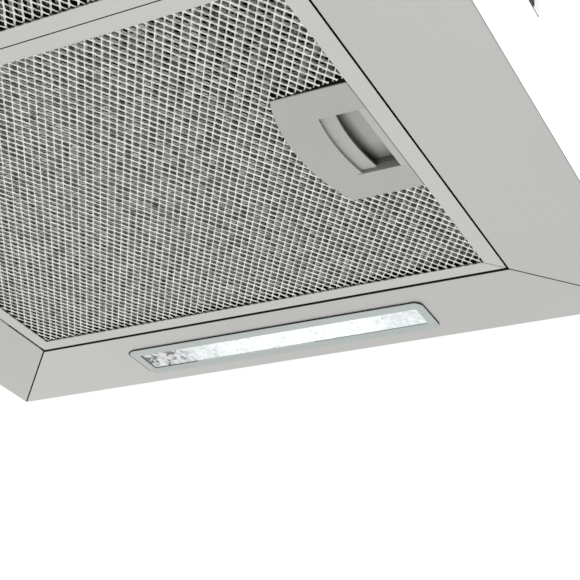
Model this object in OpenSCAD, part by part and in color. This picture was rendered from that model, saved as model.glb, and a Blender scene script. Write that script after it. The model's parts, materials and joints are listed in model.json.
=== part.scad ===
// Under-cabinet range hood: folded steel body, two mesh grease filters with sprung latches,
// two lamp strips, push-button panel, twin-wheel blower and a duct collar with a damper.
// Millimetres. X to the right, Y to the back, Z up. The origin is the middle of the top face,
// where the hood meets the cabinet; sizes below are taken from the underside.

/* [Body] */
// Overall width, side to side
hood_w = 762; // [740:2:914]
// Overall depth, front to back
hood_d = 522; // [515:1:560]
// Height of the body without the duct collar
hood_h = 152; // [152:1:180]
// Thickness of the folded sheet
sheet = 1; // [0.8:0.1:1.2]
// Width of the flat border round the filter opening
border = 73; // [66:1:76]
// Width of the open mitre between two border panels
mitre_gap = 1.1; // [0.4:0.1:1.4]
// Height of the upturned lip round the filter opening
lip_h = 12; // [12:1:14]

/* [Filters] */
// Height of a filter frame
filter_h = 10; // [10:0.5:11]
// Width of the frame strip seen from below
strip_w = 11; // [9:0.5:12]
// Gap from a filter to the side lip
side_gap = 1.7; // [1.2:0.1:2]
// Gap from a filter to the front lip and to the rear lip
end_gap = 1.3; // [1.3:0.1:1.8]
// Gap between the two filters
middle_gap = 0.8; // [0.6:0.1:1.2]

/* [Filter handle] */
// Distance of the handle's middle from the hood's middle
handle_x = 147.5; // [140:0.5:160]
// Width of the handle plate
handle_w = 105; // [96:1:110]
// Straight length of the handle plate, from the opening's front edge
handle_l = 60; // [58:1:64]
// How far the curved rear edge bulges past the straight length
handle_bulge = 10; // [8:0.5:12]
// Half width of the finger recess
recess_half_w = 28.5; // [26:0.5:29]
// Distance the latch can be pulled back
latch_travel = 6; // [4:0.5:6]

/* [Lamps] */
// Width of a lamp bezel
lamp_w = 38.5; // [34:0.5:40]
// Length of a lamp bezel
lamp_l = 241; // [200:1:300]
// Distance of a lamp's middle behind the hood's middle
lamp_y = 4; // [-10:1:10]
// Distance of a lamp's middle from the hood's side
lamp_inset = 33; // [32:0.5:36]

/* [Controls] */
// Width of the control bezel
bezel_w = 312; // [300:2:400]
// Height of the control bezel
bezel_h = 40; // [38:1:44]
// Height of the bezel's lower edge above the underside
bezel_z = 65.5; // [50:0.5:80]
// Distance between two buttons
button_pitch = 44; // [38:1:48]
// Distance a button can be pressed
button_travel = 2; // [1:0.5:2]

/* [Duct] */
// Outside width of the duct collar
duct_w = 254; // [254:1:256]
// Outside depth of the duct collar
duct_d = 83; // [83:0.5:84]
// Height of the duct collar above the body
collar_h = 40; // [30:1:60]

/* [Blower] */
// Radius of a blower wheel
wheel_r = 48; // [42:1:48]
// Width of a blower wheel
wheel_w = 74; // [60:1:76]
// Number of blades on a wheel
blade_count = 36; // [24:1:44]
// Radius of the motor shell
motor_r = 36; // [32:1:36]
// Radius of the motor shaft
shaft_r = 4; // [3:0.5:5]

/* [Hidden] */
$fn = 48;
cut = 1; // how far a cutting shape runs past what it cuts
slip = 0.3; // gap between parts that pass each other without bearing
running_fit = 0.05; // radial gap of a pin or shaft in its hole

half_w = hood_w / 2;
half_d = hood_d / 2;
open_x = half_w - border;
open_y = half_d - border;
lip_gap = mitre_gap / 2; // by which a lip stops short of its corner
steel_light = [0.75, 0.75, 0.74];
steel_dark = [0.55, 0.56, 0.57];
alu = [0.80, 0.80, 0.78];
plastic_grey = [0.70, 0.71, 0.68];
side_list = [-1, 1];

// filter
filter_x0 = middle_gap / 2;
filter_x1 = open_x - side_gap;
filter_y0 = -open_y + end_gap;
filter_y1 = open_y - end_gap;
frame_t = 0.8;
frame_chamfer = 1;
tab_w = 16;
tab_t = 1;
tab_play = 0.5; // between a tab's side and its slot
tab_reach = 7; // from the lip's front face to the tab's end
tab_z = sheet + running_fit; // underside of a tab, where it rocks on the lip
tab_slot_h = 5;
tab_x = [filter_x0 + 50, filter_x1 - 50];
mesh_levels = [2.2, 4.6, 7]; // undersides of the expanded-metal sheets
mesh_t = 0.5;
mesh_fit = 0.1; // gap to the channel's wall
mesh_rim = 1; // the sheets' folded edge, which stands in the frame's channel

// filter handle, in its own frame: u across from the handle's middle, v back from the opening's front edge
handle_v0 = end_gap + strip_w + 0.2;
handle_z0 = 0.2;
tongue_v0 = end_gap + frame_t + 0.2; // the moulding's front tongue fills the frame's channel
handle_z1 = filter_h - 1.2;
plate_t = 2;
recess_v0 = 17.5;
recess_v1 = handle_l - 18;
recess_bulge = 2.7;
arc_r = (handle_w * handle_w / 4 + handle_bulge * handle_bulge) / (2 * handle_bulge);
recess_arc_r = (recess_half_w * recess_half_w + recess_bulge * recess_bulge) / (2 * recess_bulge);
arm_u0 = recess_half_w + 2.2;
arm_u1 = arm_u0 + 6.8;
arm_z0 = 3.2;
arm_z1 = 6.9;
slide_z0 = handle_z0 + plate_t + 0.25;
slide_z1 = handle_z1 - slip;
lever_v0 = 32.3;
lever_t = 2;
lever_bow = recess_bulge;
bar_v0 = recess_v1 - 3;
bar_v1 = handle_l - 10;
nose_v = -5;
nose_ramp = 3; // length of the ramp on top of each nose
nose_angle = 40;
cavity_v1 = bar_v1 + latch_travel + 2;
spring_u = 20;
spring_r = 1.9;
spring_pocket = 6;
spring_z = (slide_z0 + slide_z1) / 2;

// lamp
lamp_x = half_w - lamp_inset;
bezel_proud = 1.2;
lamp_corner = 6;
lamp_cut_w = lamp_w - 8;
lamp_cut_l = lamp_l - 8;
lens_w = 21;
lens_l = lamp_l - 14;
lens_z0 = -0.4;
lens_t = 4;
lamp_cut_corner = 3;
lamp_foot = 6; // height at which the housing stands on the bezel's collar
lamp_top = 19;
lamp_wall = 1.5;
led_count = 12;
led_half = 2.5;
led_t = 0.9;

// controls
front_y = -half_d;
bezel_t = 0.8;
bezel_end = 10;
bezel_edge = 0.8;
bezel_fit = 0.1; // gap round the panel
panel_w = bezel_w - 2 * bezel_end;
panel_h = bezel_h - 2 * bezel_edge;
panel_z = bezel_z + bezel_edge;
panel_proud = 0.4; // of the bezel
panel_face = front_y - bezel_t - panel_proud;
panel_back = front_y + 5;
panel_wall = 2;
button_w = 30;
button_h = 14;
button_z = bezel_z + bezel_h / 2;
button_proud = 1; // of the panel
button_face = panel_face - button_proud;
button_stem_end = front_y + 6;
button_flange = 1;
button_rim = 1.2; // how far the flange reaches past the button's sides
button_stem_r = 2.2;
panel_inset = 2; // from the panel's edge to the wall behind it
switch_face = button_stem_end + button_travel + 0.2;
switch_half = 3;
switch_cap = 1; // height of a switch's round actuator
board_y = switch_face + 4;
board_t = 1.6;
board_w = 240;
board_h = 28;
post_r = 2.5;
post_x = board_w / 2 - 6;
post_dz = board_h / 2 - 4;

// blower
blower_y = 145;
blower_z = 88;
scroll_r0 = wheel_r + 3;
scroll_r1 = wheel_r + 36;
scroll_a0 = 89;
scroll_step = 271 / 30;
scroll_half = duct_w / 2;
duct_y0 = blower_y + 1;
duct_y1 = duct_y0 + duct_d;
inlet_r = 42;
wheel_x0 = 46;
hub_disc = 1.2;
blade_r0 = wheel_r - 8;
blade_t = 0.8;
blade_l = 9;
hub_r = 9;
hub_l = 16;
shaft_half = 70;
motor_half = 40;
motor_wall = 2;
end_wall = 3;
vent_ring_r = 22; // circle on which the shell's cooling holes lie
vent_r = 3.5;
rotor_r = 20;
core_half = 20;
clamp_half = 28;
web_t = 2;
pad_y = -58.8; // front face of the bracket's pad, from the shaft

// duct collar and damper
flange = 14;
flap_pin_r = 2;
flap_y = duct_y0 + sheet + 3.5;
flap_z = hood_h + 7;
flap_l = duct_d - 7;
flap_half = duct_w / 2 - sheet - 1.5;

// screws
screw_r = 2;
screw_head_r = 3.6;
screw_head_h = 1.8;

// rear outlet and its cover
rear_port_w = duct_w - 4;
rear_port_z = 55;
rear_port_h = duct_d - 4;
cover_w = 284;
cover_z0 = 42;
cover_z1 = 147;

// corner between the rear panel and the sides
ear_d = 16;
rivet_inset = 9;
rivet_z = [30, 75, 120];

// top-face fixings
slot_x = 345;
slot_y = 120;
slot_r = 3.25;
slot_l = 18;
gland_x = -317;
gland_y = 200;
gland_bore = 6.5;
gland_r = 10;
gland_nut_r = 14;
gland_nut_h = 5;
gland_cap_h = 8;
gland_thread = 12;

// wiring box
box_x = [-372, -262];
box_y = [150, 250];
box_z = 100;
box_ledge = 11; // width of the ledge that the cover is screwed to
block_z = 133;
block_pitch = 12;
cap_x = -290;
cap_y = 162;
cap_z = 126;
cap_r = 17;
clip_y = 192;
clip_w = 12;

// lamp driver
driver_x = [272, 356];
driver_y = 190;
driver_ear = 6;

module from_underside() { translate([0, 0, -hood_h]) children(); }

// a box from its low corner to its high corner
module span(a, b) { translate(a) cube(b - a); }

// the same shape on the right and on the left
module both_sides() { for (s = side_list) scale_x(s) children(); }

module scale_x(s) { if (s < 0) mirror([1, 0, 0]) children(); else children(); }

// a plate with round corners, drawn flat
module round_plate(w, l, r) {
    translate([-w / 2 + r, -l / 2]) square([w - 2 * r, l]);
    translate([-w / 2, -l / 2 + r]) square([w, l - 2 * r]);
    for (x = [-w / 2 + r, w / 2 - r], y = [-l / 2 + r, l / 2 - r]) translate([x, y]) circle(r);
}

// a pan-head screw pointing down the local Z axis, head above z = 0
module screw(shank) {
    difference() {
        union() {
            cylinder(r = screw_head_r, h = screw_head_h);
            translate([0, 0, -shank]) cylinder(r = screw_r, h = shank);
        }
        for (a = [0, 90]) rotate(a) span([-2.2, -0.4, screw_head_h - 1], [2.2, 0.4, screw_head_h + cut]);
    }
}

// ---- body ----

// one border panel, drawn with its outer edge along X at y = 0
module border_panel(length) {
    g = mitre_gap / sqrt(2);
    linear_extrude(sheet)
        polygon([[-length / 2 + g, 0], [length / 2 - g, 0],
                 [length / 2 - border - g, border], [-length / 2 + border + g, border]]);
}

// the room that the latch's two arms need, grown by g, from v0 to v1
module arm_slots(g, v0, v1) {
    for (u = [-arm_u1, arm_u0]) span([u - g, v0, arm_z0 - g], [u + arm_u1 - arm_u0 + g, v1, arm_z1 + g]);
}

module body_wrap() {
    color(steel_light) from_underside() difference() {
        union() {
            span([-half_w, -half_d, 0], [half_w, -half_d + sheet, hood_h]);
            translate([0, -half_d, 0]) border_panel(hood_w);
            span([-open_x + lip_gap, -open_y - sheet, 0], [open_x - lip_gap, -open_y, lip_h]);
            both_sides() {
                span([half_w - sheet, -half_d, 0], [half_w, half_d - sheet, hood_h]);
                translate([half_w, 0, 0]) rotate(90) border_panel(hood_d);
                span([open_x, -open_y + lip_gap, 0], [open_x + sheet, open_y - lip_gap, lip_h]);
            }
        }
        both_sides() translate([handle_x, -open_y, 0]) arm_slots(2 * slip, -sheet - cut, cut);
        both_sides() translate([lamp_x, lamp_y, -cut])
            linear_extrude(sheet + 2 * cut)
                round_plate(lamp_cut_w + 2 * slip, lamp_cut_l + 2 * slip, lamp_cut_corner);
        span([-panel_w / 2 + panel_inset, -half_d - cut, panel_z + panel_inset],
             [panel_w / 2 - panel_inset, -half_d + sheet + cut, panel_z + panel_h - panel_inset]);
        side_rivet_places() cylinder(r = screw_r, h = 6, center = true);
    }
}

module rear_panel() {
    color(steel_light) from_underside() difference() {
        union() {
            span([-half_w, half_d - sheet, 0], [half_w, half_d, hood_h]);
            translate([0, half_d, 0]) rotate(180) border_panel(hood_w);
            span([-open_x + lip_gap, open_y, 0], [open_x - lip_gap, open_y + sheet, lip_h]);
            both_sides() span([half_w - 2 * sheet, half_d - ear_d, lip_h],
                              [half_w - sheet, half_d - sheet, hood_h - 20]);
        }
        both_sides() for (x = tab_x)
            span([x - tab_w / 2 - tab_play, open_y - cut, sheet],
                 [x + tab_w / 2 + tab_play, open_y + sheet + cut, sheet + tab_slot_h]);
        span([-rear_port_w / 2, half_d - sheet - cut, rear_port_z],
             [rear_port_w / 2, half_d + cut, rear_port_z + rear_port_h]);
        rear_cover_holes();
        side_rivet_places() cylinder(r = screw_r, h = 6, center = true);
    }
}

module rear_cover_places() {
    for (x = [-cover_w / 2 + 10, -44, 44, cover_w / 2 - 10], z = [cover_z0 + 7, cover_z1 - 7])
        translate([x, half_d, z]) rotate([-90, 0, 0]) children();
}

module rear_cover_holes() { rear_cover_places() cylinder(r = screw_r, h = 8, center = true); }

module side_rivet_places() {
    both_sides() for (z = rivet_z) translate([half_w, half_d - rivet_inset, z]) rotate([0, 90, 0]) children();
}

module side_rivets() {
    color(steel_light) from_underside() side_rivet_places() {
        cylinder(r1 = 3.2, r2 = 2.2, h = 1);
        translate([0, 0, -3]) cylinder(r = screw_r, h = 3);
    }
}

module top_panel() {
    inner_w = half_w - sheet;
    inner_d = half_d - sheet;
    flap_low = hood_h - 14; // lower edge of the flaps that hang inside the body
    color(steel_light) from_underside() difference() {
        union() {
            span([-inner_w, -inner_d, hood_h - sheet], [inner_w, inner_d, hood_h]);
            span([-inner_w, -inner_d, flap_low], [inner_w, -inner_d + sheet, hood_h - sheet]);
            both_sides() span([inner_w - sheet, -inner_d, flap_low], [inner_w, inner_d, hood_h - sheet]);
        }
        span([-duct_w / 2 + sheet, duct_y0 + sheet, hood_h - sheet - cut],
             [duct_w / 2 - sheet, duct_y1 - sheet, hood_h + cut]);
        for (x = [-slot_x, slot_x], y = [-slot_y, slot_y]) translate([x, y, hood_h - sheet - cut]) {
            span([-slot_l / 2 + slot_r, -slot_r, 0], [slot_l / 2 - slot_r, slot_r, sheet + 2 * cut]);
            for (e = side_list)
                translate([e * (slot_l / 2 - slot_r), 0, 0]) cylinder(r = slot_r, h = sheet + 2 * cut);
        }
        translate([gland_x, gland_y, hood_h - sheet - cut]) cylinder(r = gland_r + 0.2, h = sheet + 2 * cut);
        collar_screw_places() cylinder(r = screw_r, h = 8, center = true);
    }
}

// ---- duct ----

module collar_screw_places() {
    for (x = [-115, 0, 115], y = [duct_y0 - flange / 2, duct_y1 + flange / 2])
        translate([x, y, hood_h + sheet]) children();
}

module duct_collar() {
    color(steel_dark) from_underside() difference() {
        union() {
            span([-duct_w / 2, duct_y0, hood_h], [duct_w / 2, duct_y1, hood_h + collar_h]);
            span([-duct_w / 2 - flange, duct_y0 - flange, hood_h],
                 [duct_w / 2 + flange, duct_y1 + flange, hood_h + sheet]);
        }
        difference() {
            span([-duct_w / 2 + sheet, duct_y0 + sheet, hood_h - cut],
                 [duct_w / 2 - sheet, duct_y1 - sheet, hood_h + collar_h + cut]);
            span([-60, duct_y1 - sheet - 4, flap_z - 1.9], [60, duct_y1, flap_z - 0.9]);
        }
        translate([0, flap_y, flap_z]) rotate([0, 90, 0])
            cylinder(r = flap_pin_r + running_fit, h = duct_w + 2 * cut, center = true);
        collar_screw_places() cylinder(r = screw_r, h = 8, center = true);
    }
}

module damper_flap() {
    color(steel_light) from_underside() translate([0, flap_y, flap_z]) {
        span([-flap_half, 0, -0.5], [flap_half, flap_l, 0.5]);
        rotate([0, 90, 0]) cylinder(r = flap_pin_r, h = duct_w + 1, center = true);
        for (x = [-80, 80]) span([x - 1.5, 10, 0.5], [x + 1.5, flap_l - 8, 2]);
    }
}

module collar_screws() { color(steel_light) from_underside() collar_screw_places() screw(5); }

module rear_duct_cover() {
    color(steel_light) from_underside() difference() {
        span([-cover_w / 2, half_d, cover_z0], [cover_w / 2, half_d + sheet, cover_z1]);
        rear_cover_holes();
    }
}

module cover_screws() {
    color(steel_light) from_underside() rear_cover_places() translate([0, 0, sheet]) screw(5);
}

// ---- blower ----

function scroll_point(a, inset) =
    let (r = scroll_r0 + (scroll_r1 - scroll_r0) * (a - scroll_a0) / 271 - inset)
    [blower_y + r * cos(a), blower_z + r * sin(a)];

// side view of the scroll, as Y and Z
function scroll_outline(inset, top) = concat(
    [for (i = [0:30]) scroll_point(scroll_a0 + i * scroll_step, inset)],
    [[duct_y1 - inset, top], [duct_y0 + inset, top]]);

module along_x(x0, x1) { translate([x0, 0, 0]) rotate([90, 0, 90]) linear_extrude(x1 - x0) children(); }

module blower_scroll() {
    top = hood_h - sheet;
    color(steel_dark) from_underside() difference() {
        union() {
            along_x(-scroll_half, scroll_half) polygon(scroll_outline(0, top));
            for (y = [duct_y0 - 11, duct_y1]) span([-scroll_half, y, top - sheet], [scroll_half, y + 11, top]);
        }
        along_x(-scroll_half + sheet, scroll_half - sheet) polygon(scroll_outline(sheet, top + cut));
        on_shaft() cylinder(r = inlet_r, h = duct_w + 2 * cut, center = true);
        collar_screw_places() cylinder(r = screw_r, h = 12, center = true);
        bracket_screw_places() cylinder(r = screw_r, h = 8, center = true);
    }
}

module inlet_rings() {
    color(steel_dark) from_underside() both_sides() translate([scroll_half, blower_y, blower_z])
        rotate([0, 90, 0]) rotate_extrude($fn = 72)
            polygon([[inlet_r + 12, 0], [inlet_r + 12, 1.2], [inlet_r - 1, 1.2], [inlet_r - 3.6, -0.6],
                     [inlet_r - 4.5, -4.5], [inlet_r - 3.3, -4.5], [inlet_r - 2.6, -1.4], [inlet_r - 0.6, 0]]);
}

// screws through the front of the scroll into the motor bracket
module bracket_screw_places() {
    for (x = [-20, 20])
        translate([x, scroll_point(180, 0)[0] - 0.4, blower_z]) rotate([90, 0, 0]) children();
}

module blower_screws() { color(steel_light) from_underside() bracket_screw_places() screw(5); }

module motor_bracket() {
    color(steel_dark) from_underside() difference() {
        translate([0, blower_y, blower_z]) union() {
            rotate([0, 90, 0]) cylinder(r = motor_r + 2, h = 2 * clamp_half, center = true);
            for (x = [-clamp_half, clamp_half - web_t]) span([x, pad_y, -8], [x + web_t, -motor_r, 8]);
            span([-clamp_half, pad_y, -8], [clamp_half, pad_y + web_t, 8]);
        }
        on_shaft() cylinder(r = motor_r, h = duct_w, center = true);
        bracket_screw_places() cylinder(r = screw_r, h = 12, center = true);
    }
}

module on_shaft() { translate([0, blower_y, blower_z]) rotate([0, 90, 0]) children(); }

module motor_shell() {
    color(steel_dark) from_underside() on_shaft() difference() {
        union() {
            cylinder(r = motor_r, h = 2 * motor_half, center = true);
            cylinder(r = 9, h = 2 * motor_half + 6, center = true);
        }
        cylinder(r = motor_r - motor_wall, h = 2 * (motor_half - end_wall), center = true);
        cylinder(r = shaft_r + running_fit, h = duct_w, center = true);
        for (a = [0:45:315], s = side_list)
            rotate(a) translate([vent_ring_r, 0, s * motor_half]) cylinder(r = vent_r, h = 12, center = true);
    }
}

module motor_stator() {
    color("dimgray") from_underside() on_shaft() difference() {
        cylinder(r = motor_r - motor_wall, h = 2 * core_half, center = true);
        cylinder(r = rotor_r + 0.5, h = duct_w, center = true);
    }
}

module motor_rotor() {
    color("silver") from_underside() on_shaft() difference() {
        cylinder(r = rotor_r, h = 2 * core_half, center = true);
        cylinder(r = shaft_r, h = duct_w, center = true);
    }
}

module motor_shaft() {
    color("silver") from_underside() on_shaft() cylinder(r = shaft_r, h = 2 * shaft_half, center = true);
}

// one wheel, its hub disc towards the motor at local z = 0
module wheel() {
    difference() {
        union() {
            cylinder(r = wheel_r, h = hub_disc);
            cylinder(r = hub_r, h = hub_l);
            for (i = [0:blade_count - 1]) rotate(i * 360 / blade_count) translate([blade_r0, 0, 0]) rotate(35)
                span([0, -blade_t / 2, hub_disc / 2], [blade_l, blade_t / 2, wheel_w - 1]);
            translate([0, 0, wheel_w - 4]) difference() {
                cylinder(r = wheel_r, h = 4);
                translate([0, 0, -cut]) cylinder(r = wheel_r - 1.2, h = 4 + 2 * cut);
            }
        }
        translate([0, 0, -cut]) cylinder(r = shaft_r, h = hub_l + 2 * cut);
    }
}

module wheel_right() { color("silver") from_underside() on_shaft() translate([0, 0, wheel_x0]) wheel(); }

module wheel_left() {
    color("silver") from_underside() on_shaft() mirror([0, 0, 1]) translate([0, 0, wheel_x0]) wheel();
}

// ---- wiring ----

module wiring_screw_places() {
    for (x = [box_x[0] + 5, box_x[1] - 5])
        translate([x, (box_y[0] + box_y[1]) / 2, box_z - sheet]) rotate([180, 0, 0]) children();
}

module wiring_box() {
    color(steel_dark) from_underside() difference() {
        span([box_x[0], box_y[0], box_z], [box_x[1], box_y[1], hood_h - sheet]);
        span([box_x[0] + sheet, box_y[0] + sheet, box_z + sheet], [box_x[1] - sheet, box_y[1] - sheet, hood_h]);
        span([box_x[0] + box_ledge, box_y[0] + sheet, box_z - cut],
             [box_x[1] - box_ledge, box_y[1] - sheet, box_z + sheet + cut]);
        wiring_screw_places() cylinder(r = screw_r, h = 8, center = true);
    }
}

module wiring_cover() {
    color(steel_dark) from_underside() difference() {
        span([box_x[0], box_y[0], box_z - sheet], [box_x[1], box_y[1], box_z]);
        wiring_screw_places() cylinder(r = screw_r, h = 8, center = true);
    }
}

module wiring_screws() { color(steel_light) from_underside() wiring_screw_places() screw(6); }

module terminal_block() {
    color("ivory") from_underside() difference() {
        span([box_x[0] + 4, box_y[0] + 8, block_z], [box_x[0] + 60, box_y[0] + 28, hood_h - sheet]);
        for (i = [0:4])
            translate([box_x[0] + 8 + block_pitch * i, box_y[0] + 18, block_z - cut]) cylinder(r = 2.6, h = 12);
    }
}

module capacitor() {
    color("black") from_underside() translate([cap_x, cap_y, cap_z])
        rotate([-90, 0, 0]) cylinder(r = cap_r, h = 72);
}

module capacitor_clip() {
    color(steel_light) from_underside() difference() {
        union() {
            translate([cap_x, clip_y, cap_z]) rotate([-90, 0, 0]) cylinder(r = cap_r + 1, h = clip_w);
            span([cap_x - 1, clip_y, cap_z], [cap_x + 1, clip_y + clip_w, hood_h - sheet]);
            span([cap_x - 10, clip_y, hood_h - sheet - 2], [cap_x + 10, clip_y + clip_w, hood_h - sheet]);
        }
        translate([cap_x, clip_y - cut, cap_z]) rotate([-90, 0, 0]) cylinder(r = cap_r, h = clip_w + 2 * cut);
        span([cap_x - 20, clip_y - cut, cap_z - 26], [cap_x + 20, clip_y + clip_w + cut, cap_z - 14]);
    }
}

module cable_gland() {
    color("black") from_underside() translate([gland_x, gland_y, hood_h]) difference() {
        union() {
            cylinder(r = gland_nut_r, h = gland_nut_h, $fn = 6);
            translate([0, 0, gland_nut_h]) cylinder(r1 = 11, r2 = 9, h = gland_cap_h);
            translate([0, 0, -gland_thread]) cylinder(r = gland_r, h = gland_thread);
            translate([0, 0, -sheet - gland_nut_h]) cylinder(r = gland_nut_r, h = gland_nut_h, $fn = 6);
        }
        translate([0, 0, -gland_thread - cut])
            cylinder(r = gland_bore, h = gland_thread + gland_nut_h + gland_cap_h + 2 * cut);
    }
}

module led_driver() {
    color("white") from_underside() {
        span([driver_x[0], driver_y, hood_h - sheet - 24], [driver_x[1], driver_y + 40, hood_h - sheet]);
        for (x = [driver_x[0] - driver_ear, driver_x[1]])
            span([x, driver_y + 10, hood_h - sheet - 2], [x + driver_ear, driver_y + 30, hood_h - sheet]);
    }
}

// ---- controls ----

module control_bezel() {
    color(plastic_grey) from_underside() difference() {
        span([-bezel_w / 2, front_y - bezel_t, bezel_z], [bezel_w / 2, front_y, bezel_z + bezel_h]);
        span([-panel_w / 2 - bezel_fit, front_y - bezel_t - cut, panel_z - bezel_fit],
             [panel_w / 2 + bezel_fit, front_y + cut, panel_z + panel_h + bezel_fit]);
    }
}

module button_places() { for (i = [-2:2]) translate([i * button_pitch, 0, button_z]) children(); }

module control_panel() {
    hollow = panel_inset + panel_wall; // from the panel's edge to the room behind it
    color([0.05, 0.05, 0.06]) from_underside() {
        difference() {
            union() {
                span([-panel_w / 2, panel_face, panel_z], [panel_w / 2, front_y, panel_z + panel_h]);
                span([-panel_w / 2 + panel_inset, front_y, panel_z + panel_inset],
                     [panel_w / 2 - panel_inset, panel_back, panel_z + panel_h - panel_inset]);
            }
            span([-panel_w / 2 + hollow, front_y, panel_z + hollow],
                 [panel_w / 2 - hollow, panel_back + cut, panel_z + panel_h - hollow]);
            button_places() span([-button_w / 2 - slip, panel_face - cut, -button_h / 2 - slip],
                                 [button_w / 2 + slip, front_y + cut, button_h / 2 + slip]);
        }
        for (x = [-post_x, post_x], z = [-post_dz, post_dz])
            translate([x, front_y, button_z + z]) rotate([-90, 0, 0])
                cylinder(r = post_r, h = board_y - front_y);
    }
}

module control_board() {
    color("darkgreen") from_underside()
        span([-board_w / 2, board_y, button_z - board_h / 2],
             [board_w / 2, board_y + board_t, button_z + board_h / 2]);
}

module control_switches() {
    color("dimgray") from_underside() button_places() {
        span([-switch_half, switch_face + switch_cap, -switch_half], [switch_half, board_y, switch_half]);
        translate([0, switch_face, 0]) rotate([-90, 0, 0]) cylinder(r = 1.6, h = switch_cap);
    }
}

module button(i) {
    color("silver") from_underside() translate([(i - 3) * button_pitch, 0, button_z]) {
        span([-button_w / 2, button_face, -button_h / 2], [button_w / 2, front_y + slip, button_h / 2]);
        span([-button_w / 2 - button_rim, front_y + slip, -button_h / 2 - button_rim],
             [button_w / 2 + button_rim, front_y + slip + button_flange, button_h / 2 + button_rim]);
        translate([0, front_y + slip + button_flange, 0]) rotate([-90, 0, 0])
            cylinder(r = button_stem_r, h = button_stem_end - front_y - slip - button_flange);
    }
}

// ---- lamps ----

module at_lamp(s) { from_underside() translate([s * lamp_x, lamp_y, 0]) children(); }

module lamp_bezel(s) {
    color([0.80, 0.84, 0.84]) at_lamp(s) difference() {
        union() {
            translate([0, 0, -bezel_proud])
                linear_extrude(bezel_proud) round_plate(lamp_w, lamp_l, lamp_corner);
            linear_extrude(lamp_foot) round_plate(lamp_cut_w, lamp_cut_l, lamp_cut_corner);
        }
        translate([0, 0, -bezel_proud - cut])
            linear_extrude(bezel_proud + lamp_foot + 2 * cut) square([lens_w, lens_l], center = true);
    }
}

module lamp_lens(s) {
    color([0.92, 0.96, 1.0]) at_lamp(s)
        span([-lens_w / 2, -lens_l / 2, lens_z0], [lens_w / 2, lens_l / 2, lens_z0 + lens_t]);
}

module lamp_housing(s) {
    color("white") at_lamp(s) difference() {
        span([-lamp_cut_w / 2, -lamp_cut_l / 2, lamp_foot], [lamp_cut_w / 2, lamp_cut_l / 2, lamp_top]);
        span([-lamp_cut_w / 2 + lamp_wall, -lamp_cut_l / 2 + lamp_wall, lamp_foot - cut],
             [lamp_cut_w / 2 - lamp_wall, lamp_cut_l / 2 - lamp_wall, lamp_top - lamp_wall]);
    }
}

module lamp_board(s) {
    color("white") at_lamp(s)
        span([-9, -lens_l / 2 + 4, lamp_top - lamp_wall - board_t], [9, lens_l / 2 - 4, lamp_top - lamp_wall]);
}

module lamp_leds(s) {
    pitch = (lens_l - 24) / (led_count - 1);
    color("gold") at_lamp(s) for (i = [0:led_count - 1])
        translate([0, (i - (led_count - 1) / 2) * pitch, 0])
            span([-led_half, -led_half, lamp_top - lamp_wall - board_t - led_t],
                 [led_half, led_half, lamp_top - lamp_wall - board_t]);
}

// ---- filters ----

module at_filter(s) { from_underside() scale_x(s) children(); }

module at_handle(s) { at_filter(s) translate([handle_x, -open_y, 0]) children(); }

module filter_frame(s) {
    color(alu) at_filter(s) {
        difference() {
            span([filter_x0, filter_y0, 0], [filter_x1, filter_y1, filter_h]);
            span([filter_x0 + frame_t, filter_y0 + frame_t, frame_t],
                 [filter_x1 - frame_t, filter_y1 - frame_t, filter_h - frame_t]);
            span([filter_x0 + strip_w, filter_y0 + strip_w, -cut],
                 [filter_x1 - strip_w, filter_y1 - strip_w, filter_h + cut]);
            translate([0, filter_y1, 0]) rotate([45, 0, 0])
                span([filter_x0 - cut, -2 * frame_chamfer, -2 * frame_chamfer],
                     [filter_x1 + cut, 2 * frame_chamfer, frame_chamfer / sqrt(2)]);
            translate([handle_x, filter_y0, 0]) arm_slots(slip, -cut, frame_t + cut);
        }
        for (x = tab_x)
            span([x - tab_w / 2, filter_y1 - frame_t, tab_z],
                 [x + tab_w / 2, open_y + tab_reach, tab_z + tab_t]);
    }
}

// outline of the handle plate, grown by g and starting at v0
module handle_outline(g, v0) {
    intersection() {
        translate([-handle_w / 2 - g, v0]) square([handle_w + 2 * g, handle_l + handle_bulge + g - v0]);
        translate([0, handle_l + handle_bulge - arc_r]) circle(arc_r + g, $fn = 180);
    }
}

// outline of the finger recess, its far edge curved
module recess_outline() {
    intersection() {
        translate([-recess_half_w, recess_v0])
            square([2 * recess_half_w, recess_v1 + recess_bulge - recess_v0]);
        translate([0, recess_v1 + recess_bulge - recess_arc_r]) circle(recess_arc_r, $fn = 180);
    }
}

module filter_mesh(s) {
    wall = frame_t + mesh_fit;
    low = [filter_x0 + wall, filter_y0 + wall];
    high = [filter_x1 - wall, filter_y1 - wall];
    color([0.62, 0.63, 0.62]) at_filter(s) difference() {
        union() {
            for (z = mesh_levels) span([low.x, low.y, z], [high.x, high.y, z + mesh_t]);
            difference() {
                span([low.x, low.y, frame_t], [high.x, high.y, filter_h - frame_t]);
                span([low.x + mesh_rim, low.y + mesh_rim, 0], [high.x - mesh_rim, high.y - mesh_rim, filter_h]);
            }
        }
        translate([handle_x, -open_y, 0]) linear_extrude(filter_h) handle_outline(0.4, 0);
    }
}

module filter_handle(s) {
    color(plastic_grey) at_handle(s) difference() {
        union() {
            translate([0, 0, handle_z0]) linear_extrude(handle_z1 - handle_z0) handle_outline(0, handle_v0);
            span([-handle_w / 2 + 2, tongue_v0, frame_t + 0.1], [handle_w / 2 - 2, handle_v0 + 1, handle_z1]);
        }
        translate([0, 0, handle_z0 - cut]) linear_extrude(handle_z1 + 2 * cut) recess_outline();
        span([-arm_u1 - slip, bar_v0 - slip, handle_z0 + plate_t], [arm_u1 + slip, cavity_v1, handle_z1 + cut]);
        arm_slots(slip, 0, bar_v0 + cut);
    }
}

module filter_back(s) {
    color(plastic_grey) at_handle(s)
        translate([0, 0, handle_z1]) linear_extrude(filter_h - handle_z1) handle_outline(0, handle_v0);
}

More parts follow.
